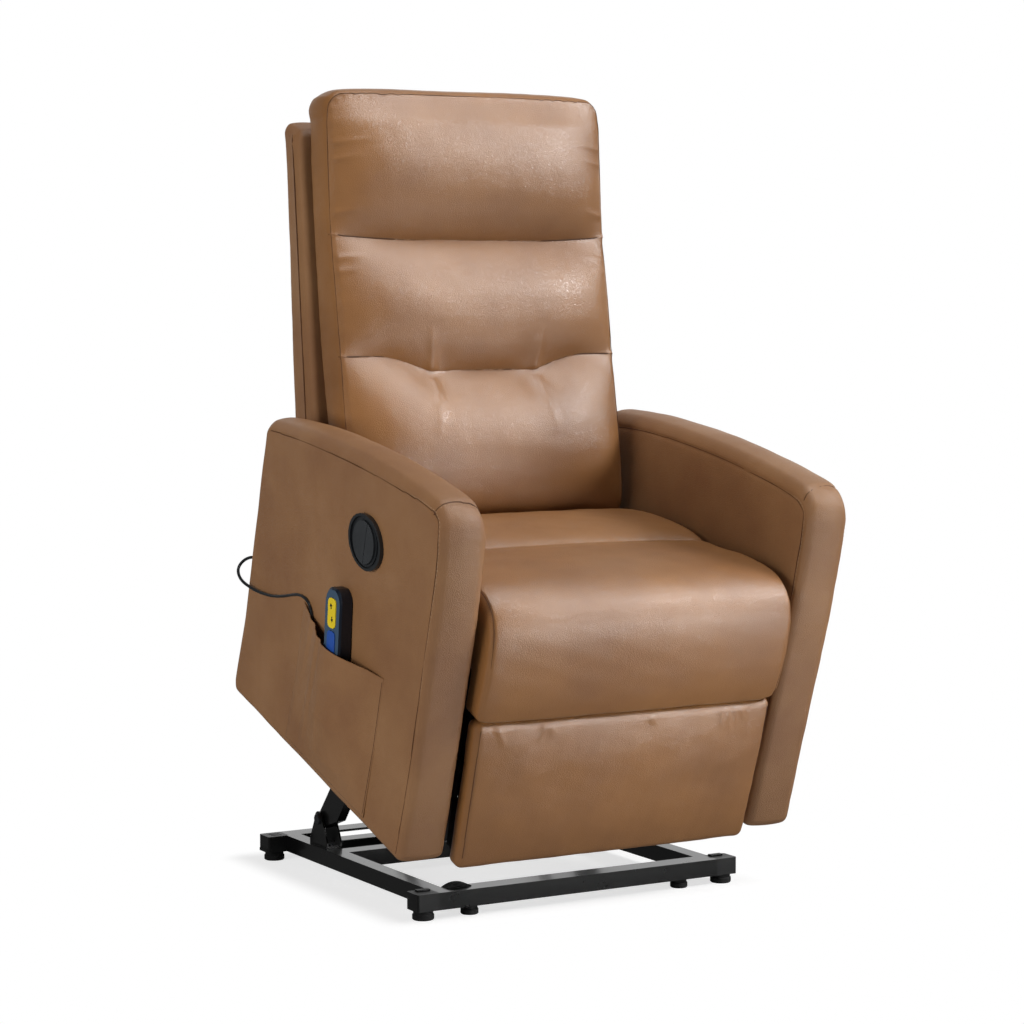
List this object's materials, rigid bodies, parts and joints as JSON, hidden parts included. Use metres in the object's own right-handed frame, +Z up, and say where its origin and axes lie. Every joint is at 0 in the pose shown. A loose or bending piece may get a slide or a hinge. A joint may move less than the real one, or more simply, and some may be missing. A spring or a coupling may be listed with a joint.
{
  "type": "lift recliner chair",
  "caption": "Powered riser recliner with padded arms, waterfall back, folding leg rest, side pocket with handset, on a low steel base with lift linkage.",
  "frame": {"origin": "on the floor under the middle of the base frame", "axes": "+Z up, the sitter faces -Y, +X is to the right as seen from the front; the chair is raised at rest"},
  "size_m": [0.7494, 0.7732, 1.2891],
  "materials": {
    "brown_leather": "satin",
    "dark_leather": "satin",
    "black_paint": "gloss",
    "black_rubber": "matte",
    "steel": "satin",
    "black_plastic": "matte",
    "grey_plastic": "matte",
    "timber": "matte",
    "webbing": "matte",
    "slate_plastic": "satin",
    "yellow_key": "gloss",
    "blue_key": "gloss"
  },
  "bodies": {
    "base": {"base_front_rail": "black_paint", "base_side_rail_right": "black_paint", "base_side_rail_left": "black_paint", "base_rear_strip": "black_paint", "base_cross_front": "black_paint", "base_cross_rear": "black_paint", "base_corner_blocks": "black_plastic", "base_feet": "black_rubber", "rail_bumper": "black_rubber", "lift_brackets": "black_paint", "lift_pivot_bolts": "steel", "front_link_brackets": "black_paint"},
    "lift_arms": {"lift_arm_right": "black_paint", "lift_arm_left": "black_paint", "lift_torque_tube": "black_paint", "lift_crank": "black_paint"},
    "front_links": {"front_links": "black_paint"},
    "chair": {"lift_drive_housing": "black_plastic", "lift_motor": "black_plastic", "recline_drive_housing": "black_plastic", "recline_motor": "black_plastic", "back_drive_housing": "black_plastic", "back_motor": "black_plastic", "side_plate_right": "black_paint", "side_plate_left": "black_paint", "cross_tubes": "black_paint", "mechanism_pins": "steel", "arm_spacers": "steel", "seat_frame": "timber", "seat_straps": "webbing", "arm_right": "brown_leather", "arm_left": "brown_leather", "seat_cushion": "brown_leather", "storage_pocket": "dark_leather", "switch_bezel": "black_plastic", "handset_cord": "black_rubber", "cord_grommet": "black_rubber", "control_box": "black_plastic", "power_inlet": "black_plastic"},
    "lift_rod": {"lift_push_rod": "steel"},
    "legrest_bars": {"legrest_bars": "black_paint", "legrest_torque_tube": "black_paint"},
    "legrest_controls": {"legrest_control_bars": "black_paint"},
    "legrest_couplers": {"legrest_couplers": "black_paint"},
    "legrest_stays": {"legrest_stays": "black_paint"},
    "legrest": {"legrest_brackets": "black_paint", "legrest_pad": "brown_leather", "legrest_board": "timber"},
    "recline_rod": {"recline_push_rod": "steel"},
    "backrest": {"back_shell": "dark_leather", "back_cushion": "brown_leather", "back_frame": "black_paint"},
    "back_rod": {"back_push_rod": "steel"},
    "switch_rear": {"switch_rear_key": "grey_plastic"},
    "switch_front": {"switch_front_key": "grey_plastic"},
    "handset": {"handset_case": "slate_plastic"},
    "up_key": {"handset_up_key": "yellow_key"},
    "down_key": {"handset_down_key": "blue_key"},
    "heat_key": {"handset_heat_key": "blue_key"}
  },
  "joints": [
    {"name": "lift", "type": "hinge", "parent": "base", "child": "lift_arms", "pos_m": [0, 0.1438, 0.0863], "axis": [1, 0, 0], "range_deg": [0, 50]},
    {"name": "front_link_swing", "type": "hinge", "parent": "base", "child": "front_links", "pos_m": [0, 0.0808, 0.078], "axis": [1, 0, 0], "range_deg": [0, 54]},
    {"name": "chair_level", "type": "hinge", "parent": "lift_arms", "child": "chair", "pos_m": [0, -0.00555, 0.24096], "axis": [1, 0, 0], "range_deg": [-68, 0]},
    {"name": "lift_rod_slide", "type": "slide", "parent": "chair", "child": "lift_rod", "axis": [0, 0.9511, 0.309], "range_m": [-0.092, 0]},
    {"name": "legrest_extend", "type": "hinge", "parent": "chair", "child": "legrest_bars", "pos_m": [0, -0.35216, 0.33979], "axis": [-1, 0, 0], "range_deg": [0, 90]},
    {"name": "legrest_control_swing", "type": "hinge", "parent": "chair", "child": "legrest_controls", "pos_m": [0, -0.31047, 0.33467], "axis": [-1, 0, 0], "range_deg": [0, 90]},
    {"name": "legrest_coupler_turn", "type": "hinge", "parent": "legrest_bars", "child": "legrest_couplers", "pos_m": [0, -0.22595, 0.17825], "axis": [-1, 0, 0], "range_deg": [-90, 0]},
    {"name": "legrest_stay_turn", "type": "hinge", "parent": "legrest_bars", "child": "legrest_stays", "pos_m": [0, -0.2752, 0.24129], "axis": [-1, 0, 0], "range_deg": [-90, 0]},
    {"name": "legrest_turn", "type": "hinge", "parent": "legrest_couplers", "child": "legrest", "pos_m": [0, -0.30495, 0.18795], "axis": [-1, 0, 0], "range_deg": [0, 90]},
    {"name": "recline_rod_slide", "type": "slide", "parent": "chair", "child": "recline_rod", "axis": [0, -0.9511, -0.309], "range_m": [0, 0.07]},
    {"name": "back_recline", "type": "hinge", "parent": "chair", "child": "backrest", "pos_m": [0, 0.1141, 0.52283], "axis": [-1, 0, 0], "range_deg": [0, 35]},
    {"name": "back_rod_slide", "type": "slide", "parent": "chair", "child": "back_rod", "axis": [0, -0.9511, -0.309], "range_m": [0, 0.064]},
    {"name": "press_switch_rear", "type": "slide", "parent": "chair", "child": "switch_rear", "axis": [0.9998, -0.0061, 0.0188], "range_m": [0, 0.002], "stiffness_N_per_m": 900},
    {"name": "press_switch_front", "type": "slide", "parent": "chair", "child": "switch_front", "axis": [0.9998, -0.0061, 0.0188], "range_m": [0, 0.002], "stiffness_N_per_m": 900},
    {"name": "handset_out_of_pocket", "type": "slide", "parent": "chair", "child": "handset", "axis": [0, -0.1045, 0.9945], "range_m": [0, 0.06]},
    {"name": "press_up_key", "type": "slide", "parent": "handset", "child": "up_key", "axis": [1, 0, 0], "range_m": [0, 0.0008], "stiffness_N_per_m": 1200},
    {"name": "press_down_key", "type": "slide", "parent": "handset", "child": "down_key", "axis": [1, 0, 0], "range_m": [0, 0.0008], "stiffness_N_per_m": 1200},
    {"name": "press_heat_key", "type": "slide", "parent": "handset", "child": "heat_key", "axis": [1, 0, 0], "range_m": [0, 0.0008], "stiffness_N_per_m": 1200}
  ],
  "couplings": [
    {"joint": "front_link_swing", "follows": "lift", "ratio": 1.0721},
    {"joint": "chair_level", "follows": "lift", "ratio": -1.36},
    {"joint": "lift_rod_slide", "follows": "lift", "m_per_rad": -0.10409},
    {"joint": "legrest_control_swing", "follows": "legrest_extend", "ratio": 1},
    {"joint": "legrest_coupler_turn", "follows": "legrest_extend", "ratio": -1},
    {"joint": "legrest_stay_turn", "follows": "legrest_extend", "ratio": -1},
    {"joint": "legrest_turn", "follows": "legrest_extend", "ratio": 1},
    {"joint": "recline_rod_slide", "follows": "legrest_extend", "m_per_rad": 0.041627},
    {"joint": "back_rod_slide", "follows": "back_recline", "m_per_rad": 0.098839}
  ]
}
